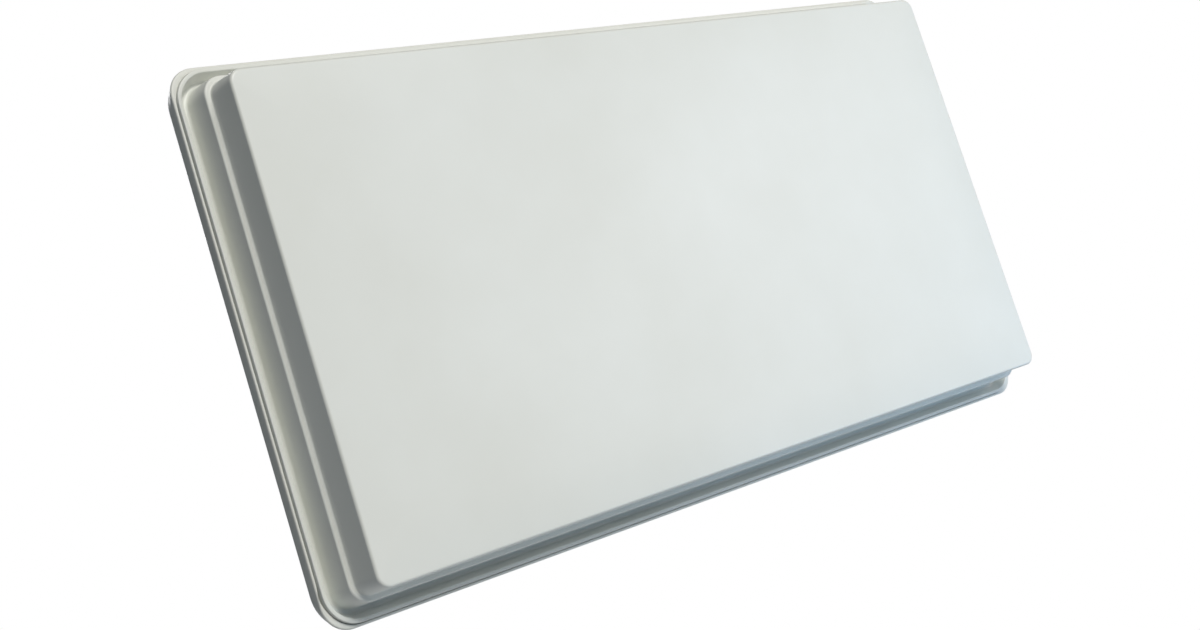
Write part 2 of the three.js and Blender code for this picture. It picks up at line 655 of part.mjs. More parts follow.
// hexagon bolt on the X axis line at y; its seat is at x and its shank runs against side
function hexBolt(y, x, side, acrossFlats, height, radius, length) {
  const span = (a, b) => [Math.min(a, b), Math.max(a, b)];
  const head = hexAlongX(y, 0, ...span(x, x + side * height), acrossFlats);
  const shank = rodX(y, 0, ...span(x + side, x - side * length), radius);
  return geometryOf(join(head, shank));
}

function wingNut(y, x, side) {
  const span = (a, b) => [Math.min(a, b), Math.max(a, b)];
  const hub = rodX(y, 0, ...span(x, x + side * 7), 6, 16);
  const wing = (up) => [[y - 3, up * 3], [y - 5, up * 10], [y - 2, up * 16], [y + 2, up * 16], [y + 3, up * 3]];
  const [w0, w1] = span(x + side * 3, x + side * 5.5);
  const upper = slabYZ(wing(1), w0, w1);
  const lower = slabYZ(wing(-1).reverse(), w0, w1);
  return geometryOf(cut(join(hub, upper, lower), rodX(y, 0, ...span(x - side, x + side * 9), 3.3, 20)));
}

// ---- assembly ----
addPart('front_cover', frontCover(), COVER);
addPart('rim_gasket', rimGasket(), RUBBER);
addPart('rear_housing', rearHousing(), HOUSING);
arrayPlates();
converter();
outputs();
coverScrews();
plateScrews();
skewFixings();
addPart('tilt_bracket', tiltBracket(), COATED);
addPart('mast_bracket', mastBracket(), COATED);
addPart('clamp_jaw', clampJaw(), COATED);
clampFixings();
tiltFixings();

export default root;
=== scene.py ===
import json
import math

import bmesh
import bpy
from mathutils import Matrix, Vector
from mathutils.geometry import tessellate_polygon


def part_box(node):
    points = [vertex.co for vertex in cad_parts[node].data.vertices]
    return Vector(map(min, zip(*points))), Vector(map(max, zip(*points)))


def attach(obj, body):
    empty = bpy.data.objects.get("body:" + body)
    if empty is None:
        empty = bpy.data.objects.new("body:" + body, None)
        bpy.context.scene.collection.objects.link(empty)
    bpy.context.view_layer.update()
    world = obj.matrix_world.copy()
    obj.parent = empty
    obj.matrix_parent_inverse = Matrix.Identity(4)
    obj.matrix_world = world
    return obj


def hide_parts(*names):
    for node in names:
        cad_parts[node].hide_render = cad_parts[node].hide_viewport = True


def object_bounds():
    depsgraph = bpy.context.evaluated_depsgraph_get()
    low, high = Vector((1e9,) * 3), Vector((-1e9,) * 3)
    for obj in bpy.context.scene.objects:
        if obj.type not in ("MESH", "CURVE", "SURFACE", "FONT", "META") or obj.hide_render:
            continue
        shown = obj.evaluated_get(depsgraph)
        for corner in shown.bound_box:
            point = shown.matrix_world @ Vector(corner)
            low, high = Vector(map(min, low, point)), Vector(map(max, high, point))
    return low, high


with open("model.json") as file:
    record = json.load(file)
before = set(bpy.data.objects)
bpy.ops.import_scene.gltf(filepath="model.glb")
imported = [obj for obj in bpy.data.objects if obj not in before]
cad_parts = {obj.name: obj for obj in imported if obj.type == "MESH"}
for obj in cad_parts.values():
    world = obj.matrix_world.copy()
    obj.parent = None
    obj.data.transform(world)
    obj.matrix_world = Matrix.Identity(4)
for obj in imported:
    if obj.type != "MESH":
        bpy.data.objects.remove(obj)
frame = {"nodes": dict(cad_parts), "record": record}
cad_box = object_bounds()
MM = 0.001
TAU = 2 * math.pi

# ---- driving sizes in millimetres; a step lies outside the face's outline, a depth behind the face ----
RIM_STEP = 14.0
BEAD_EDGE = 12.3
WALL = 2.5
LEDGE_DEPTH = 20.4
CHANNEL_DEPTH = 39.25
CREST_DEPTH = 32.3
COVER_DEPTH = 40.7
SEAM = 0.4
SEAM_SHUTS_FROM = 117.0
SEAM_SHUTS_OVER = 12.0
LIP_DEPTH = 34.3
LIP_ROUND = 0.65
LIP_DROP = 1.2
LIP_CORNER = 14.6
FOOT_CORNER = 20.0
GROOVE_DEPTH = 41.0
BACK_DEPTH = 43.0
BACK_MIDDLE_DEPTH = 44.0

TILT_SHEET = 3.0
TILT_BEND = 2.0
TILT_DISC = 60.0
SKEW_CIRCLE = 42.0
SKEW_SWING = 25.0
CLAMP_SHEET = 2.5
CLAMP_BEND = 1.5
CLAMP_WEB_Y = -42.5
CLAMP_BOLT_X = 36.0
V_MOUTH = 18.9
V_DEPTH = 24.9
LOCK_CIRCLE = 40.0
TILT_SWING = 60.0
SLOT_WIDTH = 6.8
M8_HOLE = 4.4
M6_HOLE = 3.4

M8_RADIUS = 3.95
M8_PITCH = 1.25
M8_ACROSS = 13
M8_BORE = 4.05
M6_RADIUS = 2.95
M6_PITCH = 1.0
M6_ACROSS = 10


# ---- places taken from the frame ----
def corners(node):
    """The low and high corners of a CAD node's box, in millimetres."""
    low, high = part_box(node)
    return Vector(low) / MM, Vector(high) / MM


def centre_of(node):
    return [(a + b) / 2 for a, b in zip(*corners(node))]


FACE_Y = corners("front_cover")[0].y
HOUSING_LOW, HOUSING_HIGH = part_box("rear_housing")
FACE_W = (HOUSING_HIGH.x - HOUSING_LOW.x) / MM - 2 * RIM_STEP
FACE_H = (HOUSING_HIGH.z - HOUSING_LOW.z) / MM - 2 * RIM_STEP
PIVOT = sum(corners("pivot_nut_left") + corners("pivot_nut_right"), Vector()) / 4


# ---- mesh helpers ----
def mesh_object(name, bm, material):
    bmesh.ops.recalc_face_normals(bm, faces=bm.faces)
    mesh = bpy.data.meshes.new(name)
    bm.to_mesh(mesh)
    bm.free()
    made = bpy.data.objects.new(name, mesh)
    bpy.context.scene.collection.objects.link(made)
    mesh.materials.append(material)
    return made


def skin(bm, rings, closed=False):
    """Joins rings of points, listed in millimetres, with faces; caps the ends unless closed."""
    rows = [[bm.verts.new(Vector(spot) * MM) for spot in ring] for ring in rings]
    count = len(rows[0])
    joins = len(rows) if closed else len(rows) - 1
    for r in range(joins):
        a, b = rows[r], rows[(r + 1) % len(rows)]
        for i in range(count):
            k = (i + 1) % count
            bm.faces.new((a[i], b[i], b[k], a[k]))
    if not closed:
        bm.faces.new(rows[0])
        bm.faces.new(list(reversed(rows[-1])))
    return bm


def rounded(points, closed=False, steps=5):
    """A line of (u, v, radius) points with each corner turned into an arc of that radius."""
    count = len(points)
    out = []
    for i, (u, v, radius) in enumerate(points):
        here = Vector((u, v))
        if radius <= 0 or (i in (0, count - 1) and not closed):
            out.append((u, v))
            continue
        back = (Vector(points[i - 1][:2]) - here).normalized()
        ahead = (Vector(points[(i + 1) % count][:2]) - here).normalized()
        half = back.angle(ahead) / 2
        reach = radius / math.tan(half)
        centre = here + (back + ahead).normalized() * (radius / math.sin(half))
        start, end = here + back * reach - centre, here + ahead * reach - centre
        turn = -start.angle_signed(end)
        for k in range(steps + 1):
            c, s = math.cos(turn * k / steps), math.sin(turn * k / steps)
            spot = centre + Vector((start.x * c - start.y * s, start.x * s + start.y * c))
            out.append((spot.x, spot.y))
    return out


def frame_ring(step, depth, radius=None, segments=14, along=28):
    """A rounded rectangle round the panel, at an outward step and a depth behind the face.

    segments is the number of chords in each corner; along is the number of points between the
    ends of each straight side, closer together near the ends."""
    radius = radius or max(7 + 0.85 * step, 1.5)
    half_w, half_h = FACE_W / 2 + step, FACE_H / 2 + step
    points = []
    for side, up, start in ((1, 1, 0), (-1, 1, 90), (-1, -1, 180), (1, -1, 270)):
        for i in range(segments + 1):
            angle = math.radians(start + 90 * i / segments)
            x = side * (half_w - radius) + radius * math.cos(angle)
            z = up * (half_h - radius) + radius * math.sin(angle)
            points.append(Vector((x, FACE_Y + depth, z)))
        level = side == up
        reach = (half_w if level else half_h) - radius
        onward = Vector((-side, 0, 0)) if level else Vector((0, 0, side))
        corner_end = points[-1]
        shares = [1 - math.cos(math.pi * k / (along + 1)) for k in range(1, along + 1)]
        points += [corner_end + onward * reach * share for share in shares]
    return points


def box_ring(x0, x1, z0, z1, radius, y, segments=6):
    """A rounded rectangle of points in a plane of constant y."""
    points = []
    for side, up, start in ((1, 1, 0), (-1, 1, 90), (-1, -1, 180), (1, -1, 270)):
        cx, cz = (x1 if side > 0 else x0), (z1 if up > 0 else z0)
        for i in range(segments + 1):
            angle = math.radians(start + 90 * i / segments)
            points.append((cx - side * radius + radius * math.cos(angle), y,
                           cz - up * radius + radius * math.sin(angle)))
    return points


def polar(bm, rings, centre, axis, closed=False, count=48):
    """Rings of (radius, height) about an axis; radius and height may depend on the angle."""
    turn = Vector((0, 0, 1)).rotation_difference(Vector(axis)).to_matrix()
    rows = []
    for radius, height in rings:
        row = []
        for i in range(count):
            phi = TAU * i / count
            r = radius(phi) if callable(radius) else radius
            h = height(phi) if callable(height) else height
            row.append(Vector(centre) + turn @ Vector((r * math.cos(phi), r * math.sin(phi), h)))
        rows.append(row)
    return skin(bm, rows, closed)


# ---- materials ----
class Look:
    """A principled material whose colour, roughness and surface come from object space noise."""

    def __init__(self, name, colour, roughness, metallic=0.0, coat=0.0):
        self.material = bpy.data.materials.new(name)
        self.material.use_nodes = True
        self.tree = self.material.node_tree
        self.shader = self.tree.nodes["Principled BSDF"]
        self.shader.inputs["Base Color"].default_value = (*colour, 1)
        self.shader.inputs["Roughness"].default_value = roughness
        self.shader.inputs["Metallic"].default_value = metallic
        self.shader.inputs["Coat Weight"].default_value = coat
        self.colour, self.roughness = colour, roughness
        self.place = self.tree.nodes.new("ShaderNodeTexCoord").outputs["Object"]
        self.normal = None

    def noise(self, scale, detail=3.0, rough=0.55, stretch=None):
        made = self.tree.nodes.new("ShaderNodeTexNoise")
        made.inputs["Scale"].default_value = scale
        made.inputs["Detail"].default_value = detail
        made.inputs["Roughness"].default_value = rough
        if stretch:
            mapping = self.tree.nodes.new("ShaderNodeMapping")
            mapping.inputs["Scale"].default_value = stretch
            self.tree.links.new(self.place, mapping.inputs["Vector"])
            self.tree.links.new(mapping.outputs["Vector"], made.inputs["Vector"])
        else:
            self.tree.links.new(self.place, made.inputs["Vector"])
        return made.outputs["Fac"]

    def cells(self, scale):
        made = self.tree.nodes.new("ShaderNodeTexVoronoi")
        made.inputs["Scale"].default_value = scale
        self.tree.links.new(self.place, made.inputs["Vector"])
        return made

    def ramp(self, source, stops):
        made = self.tree.nodes.new("ShaderNodeValToRGB")
        ramp = made.color_ramp
        while len(ramp.elements) < len(stops):
            ramp.elements.new(0.5)
        for element, (position, colour) in zip(ramp.elements, stops):
            element.position = position
            element.color = (*colour, 1)
        self.tree.links.new(source, made.inputs["Fac"])
        return made.outputs["Color"]

    def vary_colour(self, source, low=0.94, high=1.04, tint=(1, 1, 1)):
        dark = tuple(c * low * t for c, t in zip(self.colour, tint))
        light = tuple(min(c * high, 1) for c in self.colour)
        colour = self.ramp(source, [(0.3, dark), (0.7, light)])
        self.tree.links.new(colour, self.shader.inputs["Base Color"])
        return self

    def vary_roughness(self, source, spread=0.08):
        made = self.tree.nodes.new("ShaderNodeMapRange")
        made.inputs["To Min"].default_value = max(self.roughness - spread, 0.02)
        made.inputs["To Max"].default_value = min(self.roughness + spread, 1)
        self.tree.links.new(source, made.inputs["Value"])
        self.tree.links.new(made.outputs["Result"], self.shader.inputs["Roughness"])
        return self

    def bump(self, source, strength, distance):
        made = self.tree.nodes.new("ShaderNodeBump")
        made.inputs["Strength"].default_value = strength
        made.inputs["Distance"].default_value = distance
        self.tree.links.new(source, made.inputs["Height"])
        if self.normal:
            self.tree.links.new(self.normal, made.inputs["Normal"])
        self.normal = made.outputs["Normal"]
        self.tree.links.new(self.normal, self.shader.inputs["Normal"])
        return self


def cover_look():
    look = Look("cover_satin_plastic", (0.75, 0.765, 0.725), 0.4)
    look.vary_colour(look.noise(9, 4), 0.965, 1.02, (1, 0.995, 0.98))
    look.vary_roughness(look.noise(40, 5), 0.05)
    look.bump(look.noise(2600, 2, 0.6), 0.12, 0.00005)
    return look.bump(look.noise(14, 2), 0.06, 0.0006).material


def housing_look():
    look = Look("housing_moulded_plastic", (0.74, 0.75, 0.705), 0.46)
    look.vary_colour(look.noise(12, 5), 0.95, 1.02, (1, 0.99, 0.97))
    look.vary_roughness(look.noise(60, 4), 0.07)
    return look.bump(look.noise(1500, 3, 0.65), 0.35, 0.00008).material


def rubber_look():
    look = Look("black_rubber", (0.018, 0.018, 0.02), 0.72)
    look.vary_colour(look.noise(90, 4), 0.7, 1.6)
    look.vary_roughness(look.noise(200, 3), 0.1)
    return look.bump(look.noise(1800, 2), 0.4, 0.00006).material


def metallised_look():
    look = Look("metallised_plastic", (0.66, 0.67, 0.69), 0.3, 1.0)
    look.vary_colour(look.noise(25, 5), 0.88, 1.06)
    look.vary_roughness(look.noise(120, 4), 0.1)
    return look.bump(look.noise(420, 4), 0.2, 0.0001).material


def casting_look():
    look = Look("cast_aluminium", (0.5, 0.51, 0.53), 0.48, 1.0)
    look.vary_colour(look.noise(70, 5), 0.8, 1.12)
    look.vary_roughness(look.noise(240, 4), 0.12)
    return look.bump(look.noise(900, 4, 0.7), 0.5, 0.00012).material


def board_look():
    look = Look("circuit_board", (0.02, 0.13, 0.06), 0.42, 0.0, 0.3)
    tracks = look.cells(520)
    tracks.feature = "DISTANCE_TO_EDGE"
    copper, mask = (0.05, 0.26, 0.12), (0.02, 0.12, 0.055)
    colour = look.ramp(tracks.outputs["Distance"], [(0.05, copper), (0.12, mask)])
    look.tree.links.new(colour, look.shader.inputs["Base Color"])
    look.vary_roughness(look.noise(300, 2), 0.08)
    return look.bump(tracks.outputs["Distance"], 0.3, 0.00005).material


def brass_look():
    look = Look("turned_brass", (0.62, 0.43, 0.17), 0.3, 1.0)
    look.vary_colour(look.noise(150, 4), 0.8, 1.08, (1, 0.95, 0.85))
    look.vary_roughness(look.noise(500, 3, 0.5, (1, 6, 1)), 0.1)
    return look.bump(look.noise(900, 2, 0.5, (1, 8, 1)), 0.15, 0.00004).material


def nickel_look():
    look = Look("nickel_plate", (0.66, 0.64, 0.6), 0.22, 1.0)
    look.vary_colour(look.noise(180, 4), 0.86, 1.05)
    look.vary_roughness(look.noise(420, 3), 0.08)
    return look.bump(look.noise(1200, 3), 0.12, 0.00003).material


def zinc_look():
    look = Look("zinc_plated_steel", (0.58, 0.59, 0.6), 0.34, 1.0)
    grains = look.cells(260)
    look.vary_colour(grains.outputs["Color"], 0.84, 1.06, (1, 1, 1.02))
    look.vary_roughness(look.noise(320, 4), 0.12)
    return look.bump(look.noise(1400, 3), 0.18, 0.00004).material


def coated_look():
    look = Look("powder_coated_steel", (0.36, 0.375, 0.385), 0.46, 0.0, 0.15)
    look.vary_colour(look.noise(20, 5), 0.9, 1.06)
    look.vary_roughness(look.noise(90, 4), 0.08)
    return look.bump(look.noise(1100, 2, 0.5), 0.5, 0.00015).material


def vent_look():
    look = Look("vent_plastic", (0.03, 0.032, 0.036), 0.6)
    look.vary_colour(look.noise(120, 4), 0.8, 1.4)
    look.vary_roughness(look.noise(300, 3), 0.08)
    return look.bump(look.noise(2200, 2), 0.4, 0.00005).material


LOOKS = {
    "cover_plastic": cover_look(), "housing_plastic": housing_look(), "rubber": rubber_look(),
    "metallised_plate": metallised_look(), "cast_aluminium": casting_look(),
    "circuit_board": board_look(), "brass": brass_look(), "nickel_plate": nickel_look(),
    "zinc_steel": zinc_look(), "coated_steel": coated_look(), "vent_plastic": vent_look(),
}


def dress_cad_nodes():
    for entry in frame["record"]["subparts"]:
        node = frame["nodes"][entry["node"]]
        node.data.materials.clear()
        node.data.materials.append(LOOKS[entry["material_slot"]])


def add_piece(name, node, bm, smooth=35):
    """A mesh that stands for a CAD node and takes that node's body, slot and material.

    Edges sharper than smooth, in degrees, stay sharp."""
    slots = {entry["node"]: entry["material_slot"] for entry in frame["record"]["subparts"]}
    bodies = frame["record"]["behaviour"]["bodies"]
    body = next(key for key, members in bodies.items() if node in members)
    piece = mesh_object(name, bm, LOOKS[slots[node]])
    piece.data.shade_smooth()
    piece.data.set_sharp_from_angle(angle=math.radians(smooth))
    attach(piece, body)
    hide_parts(node)
    return piece


# ---- cover and housing ----
def cover():
    inside = LEDGE_DEPTH + WALL
    section = rounded([
        (-30, 0, 0), (0, 0, 1.7), (1.05, LEDGE_DEPTH, 0.7), (4.05, LEDGE_DEPTH, 1.1),
        (5.15, CHANNEL_DEPTH, 1.5), (7.8, CHANNEL_DEPTH, 0.8), (10.3, CREST_DEPTH, 0.7),
        (BEAD_EDGE, CREST_DEPTH, 0.45), (BEAD_EDGE, COVER_DEPTH, 0.3), (2.6, COVER_DEPTH, 0.4),
        (1.6, inside, 0.6), (-1.4, inside, 0.6), (-2.4, WALL, 1.2), (-30, WALL, 0),
    ])
    rings = [frame_ring(step, depth) for step, depth in section]
    add_piece("cover_shell", "front_cover", skin(bmesh.new(), rings), 40)


def add_rib(bm, a, b, half, top):
    """A low rib between two points of the back, tapered, up to a depth of top."""
    foot, crest = FACE_Y + BACK_DEPTH + 0.2, FACE_Y + top
    (ax, az), (bx, bz) = a, b
    along = Vector((bx - ax, 0, bz - az)).normalized()
    side = Vector((-along.z, 0, along.x))
    flank = [(half + 1.2, foot), (half + 1.0, foot + 0.8), (half + 0.25, foot + 1.4),
             (half - 0.1, crest - 0.6), (half - 0.6, crest)]
    section = [(-s, y) for s, y in flank] + flank[::-1]
    rings = [[(x + side.x * s, y, z + side.z * s) for s, y in section] for x, z in (a, b)]
    skin(bm, rings)


def rim_rings():
    """The rim's section swept round the panel; its lip is squarer at the corners than its foot."""
    lip = BEAD_EDGE + SEAM
    inner = rounded([
        (2, 42, 0), (6.6, 41.8, 0.5), (7.6, GROOVE_DEPTH, 0.3), (8.7, GROOVE_DEPTH, 0), (8.7, 42.3, 0),
        (11.7, 42.3, 0), (11.7, GROOVE_DEPTH, 0), (lip, GROOVE_DEPTH, 0), (lip, LIP_DEPTH, 0.15),
        (lip + 0.2, LIP_DEPTH, 0),
    ])
    back = rounded([
        (RIM_STEP, 38.5, 0), (RIM_STEP, 41.2, 0.9), (12.6, 43.2, 1.5), (9.4, 43.7, 2),
        (8.2, BACK_MIDDLE_DEPTH, 2), (-30, BACK_MIDDLE_DEPTH, 0),
    ])
    rings = []
    for step, depth in inner:
        ring = frame_ring(step, depth)
        if step >= lip - 0.01 and depth < GROOVE_DEPTH:
            ring = [spot + seam_gap(spot) for spot in ring]
        rings.append(ring)
    for turn in range(0, 91, 15):
        step = RIM_STEP - LIP_ROUND + LIP_ROUND * math.sin(math.radians(turn))
        depth = LIP_DEPTH + LIP_DROP * (1 - math.cos(math.radians(turn)))
        rings.append(frame_ring(step, depth, LIP_CORNER))
    return rings + [frame_ring(step, depth, FOOT_CORNER if step > 12 else None) for step, depth in back]


def seam_gap(spot):
    """How the lip leaves its even gap: opened at one lower corner, almost shut along the top."""
    shut = min(max((spot.z - SEAM_SHUTS_FROM) / SEAM_SHUTS_OVER, 0), 1)
    if shut:
        past_x, past_z = max(abs(spot.x) - FACE_W / 2, 0), max(spot.z - FACE_H / 2, 0)
        out = Vector((math.copysign(past_x, spot.x), 0, past_z))
        return -0.3 * shut * out.normalized()
    start, widest, end = -118.0, -122.5, -131.0
    if spot.x > 0 or not end < spot.z < start:
        return Vector()
    share = (start - spot.z) / (start - widest) if spot.z > widest else (spot.z - end) / (widest - end)
    return Vector((-1, 0, -0.3)) * 0.6 * math.sin(share * math.pi / 2)


def add_back_ribs(bm):
    level_top, upright_top = 46.8, 47
    for side in (-1, 1):
        add_rib(bm, (side * 60, 0), (side * 241, 0), 1.5, level_top)
        for z in (-62, 62):
            add_rib(bm, (side * 70, z), (side * 241, z), 1.5, level_top)
        for x in (155, 240):
            add_rib(bm, (side * x, -112), (side * x, 112), 1.55, upright_top)


def add_turntable(bm):
    """The raised ring that the tilt bracket turns on, its centre spigot and the spokes between them."""
    foot, top, spigot_top = BACK_DEPTH, 52, 55.6
    ring = rounded([
        (61, foot, 0), (60.5, 44, 0), (58, 45.2, 1.6), (58, top, 0.8), (30, top, 0.8), (30, 45, 1.2),
        (27, 43.9, 0.6), (27, foot, 0),
    ])
    polar(bm, ring, (0, FACE_Y, 0), (0, 1, 0), True, 96)
    spigot = rounded([
        (10, foot, 0), (9.6, 44.2, 0), (8, 45.4, 1.4), (8, spigot_top, 0.6), (3, spigot_top, 0.3),
        (3, 50, 0), (0.2, 50, 0),
    ])
    polar(bm, spigot, (0, FACE_Y, 0), (0, 1, 0), False, 64)
    for i in range(12):
        if i % 3 != 1:
            angle = math.radians(15 + 30 * i)
            ends = [(radius * math.cos(angle), radius * math.sin(angle)) for radius in (9, 31)]
            add_rib(bm, *ends, 0.9, 50.5)


def add_bulge(bm):
    """The bulge over the converter, flared where it meets the back."""
    top = 58
    section = rounded([(3.0, BACK_DEPTH, 0), (2.4, 44.3, 0), (0.6, 46, 1.8), (0, top, 2.2), (-20, top, 0)])
    rings = []
    for flare, depth in section:
        radius = max(7 + flare * 0.7, 1.2)
        rings.append(box_ring(-50 - flare, 50 + flare, -122 - flare, -66 + flare, radius, FACE_Y + depth))
    skin(bm, rings)


def add_screw_cups(bm):
    cup = rounded([
        (6.6, BACK_DEPTH, 0), (6.2, 44, 0), (5.0, 44.8, 0.8), (4.7, 46.4, 0.5), (3.5, 46.4, 0.3),
        (3.4, BACK_DEPTH, 0),
    ])
    for x, z in screw_places("cover_screw"):
        polar(bm, cup, (x, FACE_Y, z), (0, 1, 0), True, 32)


def housing():
    bm = skin(bmesh.new(), rim_rings())
    add_back_ribs(bm)
    add_turntable(bm)
    add_bulge(bm)
    add_screw_cups(bm)
    add_piece("housing_shell", "rear_housing", bm)


def screw_places(prefix):
    places = []
    for name in sorted(frame["nodes"]):
        if name.startswith(prefix):
            low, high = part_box(name)
            places.append(((low.x + high.x) / 2 / MM, (low.z + high.z) / 2 / MM))
    return places


# ---- sheet metal ----
def turned_left(loop):
    doubled_area = sum(a[0] * b[1] - b[0] * a[1] for a, b in zip(loop, loop[1:] + loop[:1]))
    return doubled_area > 0


def arc(u, v, radius, start, end, steps):
    """Points on a circle about (u, v), from one angle to another in degrees."""
    out = []
    for k in range(steps + 1):
        angle = math.radians(start + (end - start) * k / steps)
        out.append((u + radius * math.cos(angle), v + radius * math.sin(angle)))
    return out


def round_hole(u, v, radius, chords=30):
    return arc(u, v, radius, 0, 360 - 360 / chords, chords - 1)


def arc_slot(u, v, radius, width, start, end):
    """A slot that follows a circle about (u, v), with round ends."""
    half = width / 2
    tip = arc(u, v, radius, end, end, 1)[0]
    tail = arc(u, v, radius, start, start, 1)[0]
    outline = arc(u, v, radius + half, start, end, 16)
    outline += arc(*tip, half, end, end + 180, 10)[1:-1]
    outline += arc(u, v, radius - half, end, start, 16)
    outline += arc(*tail, half, start + 180, start + 360, 10)[1:-1]
    return outline


def plate(outline, holes, thickness, edge=0.35):
    """A flat plate in U and V, centred on W = 0, with holes and softened edges; in millimetres."""
    loops = [outline if turned_left(outline) else outline[::-1]]
    loops += [hole[::-1] if turned_left(hole) else hole for hole in holes]
    bm = bmesh.new()
    caps = ([], [])
    for loop in loops:
        count = len(loop)
        inward = []
        for i in range(count):
            back = Vector(loop[i]) - Vector(loop[i - 1])
            ahead = Vector(loop[(i + 1) % count]) - Vector(loop[i])
            along = (back.normalized() + ahead.normalized()).normalized()
            inward.append(Vector((-along.y, along.x)))
        rows = []
        half = thickness / 2
        for inset, height in ((edge, half), (edge * 0.3, half - edge * 0.3), (0, half - edge),
                              (0, edge - half), (edge * 0.3, edge * 0.3 - half), (edge, -half)):
            rows.append([bm.verts.new((u + n.x * inset, v + n.y * inset, height))
                         for (u, v), n in zip(loop, inward)])
        for a, b in zip(rows, rows[1:]):
            for i in range(count):
                k = (i + 1) % count
                bm.faces.new((a[i], b[i], b[k], a[k]))
        caps[0].append(rows[0])
        caps[1].append(rows[-1])
    for rings in caps:
        flat = [vert for ring in rings for vert in ring]
        for a, b, c in tessellate_polygon([[vert.co for vert in ring] for ring in rings]):
            bm.faces.new((flat[a], flat[b], flat[c]))
    return bm


def bend(bm, across, start, middle, up, inside=lambda u, v: True, cuts=8):
    """Bends the two ends of a plate past the lines at plus and minus start, a right angle each.

    across is 0 to bend along U and 1 to bend along V; middle is the bend radius at mid sheet;
    up is +1 or -1 along W; inside tells which points belong to the flap."""
    length = middle * math.pi / 2
    normal = Vector((1, 0, 0)) if across == 0 else Vector((0, 1, 0))
    for side in (-1, 1):
        for k in range(cuts + 1):
            where = normal * side * (start + length * k / cuts)
            geometry = bm.verts[:] + bm.edges[:] + bm.faces[:]
            bmesh.ops.bisect_plane(bm, geom=geometry, dist=1e-5, plane_co=where, plane_no=normal)
    for vert in bm.verts:
        reach = vert.co[across]
        excess = abs(reach) - start
        if excess <= 0 or not inside(vert.co.x, vert.co.y):
            continue
        side = 1 if reach > 0 else -1
        radius = middle - up * vert.co.z
        angle = min(excess / middle, math.pi / 2)
        vert.co[across] = side * (start + radius * math.sin(angle))
        vert.co.z = up * (middle - radius * math.cos(angle) + max(excess - length, 0))


def laid(bm, place):
    """Moves a plate, drawn in millimetres, to its place in metres."""
    for vert in bm.verts:
        vert.co = Vector(place(*vert.co)) * MM
    return bm


def steady_normals(made):
    """Keeps the flat faces of a softened plate flat in their shading."""
    weighted = made.modifiers.new("weighted", "WEIGHTED_NORMAL")
    weighted.keep_sharp = True


def mirrored(points):
    """The points of a right half, bottom to top, followed by their mirror, top to bottom."""
    return points + [(-u, v, r) for u, v, r in reversed(points)]


def plain_points(points):
    return [(u, v, 0) for u, v in points]


def toothed(a, b, teeth, depth, away):
    """Points from a to b with teeth whose tips lie on the line and whose roots are cut away from it."""
    out = []
    for k in range(teeth):
        for share, root in ((k, 0.0), (k + 0.5, depth)):
            t = share / teeth
            u = a[0] + (b[0] - a[0]) * t + away[0] * root
            v = a[1] + (b[1] - a[1]) * t + away[1] * root
            out.append((u, v, 0))
    return out + [(b[0], b[1], 0)]


def tilt_bracket():
    low, high = corners("tilt_bracket")
    middle_bend = TILT_BEND + TILT_SHEET / 2
    start = high.x - TILT_BEND - TILT_SHEET
    flat = start + middle_bend * math.pi / 2 - (low.y + TILT_BEND + TILT_SHEET)
    pivot = PIVOT.y + flat
    foot = math.degrees(math.acos(start / TILT_DISC))
    right = plain_points(arc(0, 0, TILT_DISC, -90, -foot, 14))
    right += [(start, -25.4, 0.0), (start - 2.4, -25.4, 0.7), (start - 2.4, -23.6, 0.7), (start, -23, 0.0)]
    right += [(flat - 118, -36, 8), (flat - 100, -46, 7), (flat - 82, -45, 6), (flat - 72, -30, 6)]
    right += plain_points(arc(pivot, 0, 19, -60, 60, 16))
    right += [(flat - 84, 20, 8), (flat - 112, 30, 12), (start, 23, 0.0)]
    right += [(start - 2.4, 23.6, 0.7), (start - 2.4, 25.4, 0.7), (start, 25.4, 0.0)]
    right += plain_points(arc(0, 0, TILT_DISC, foot, 90, 14))
    outline = rounded(mirrored(right[:-1])[:-1], closed=True)
    holes = []
    for at in (45, 135, 225, 315):
        holes.append(arc_slot(0, 0, SKEW_CIRCLE, SLOT_WIDTH, at - SKEW_SWING, at + SKEW_SWING))
    holes.append(round_hole(0, 0, 8.4, 36))
    for side in (-1, 1):
        holes.append(round_hole(side * pivot, 0, M8_HOLE))
        slot = arc_slot(pivot, 0, LOCK_CIRCLE, SLOT_WIDTH, 180, 180 + TILT_SWING)
        holes.append([(side * u, v) for u, v in slot])
    bm = plate(outline, holes, TILT_SHEET)
    bend(bm, 0, start, middle_bend, 1)
    laid(bm, lambda u, v, w: (u, low.y + TILT_SHEET / 2 + w, v))
    steady_normals(add_piece("tilt_bracket_folded", "tilt_bracket", bm))


def v_edge(mouth, edge, apex):
    """The serrated notch that seats the mast, from its right lip to its left lip."""
    slope = math.sqrt(0.5)
    down = -1 if edge > apex else 1
    right = toothed((mouth, edge), (2, apex), 9, 0.9, (slope, down * slope))
    return right + [(-u, v, r) for u, v, r in reversed(right)]


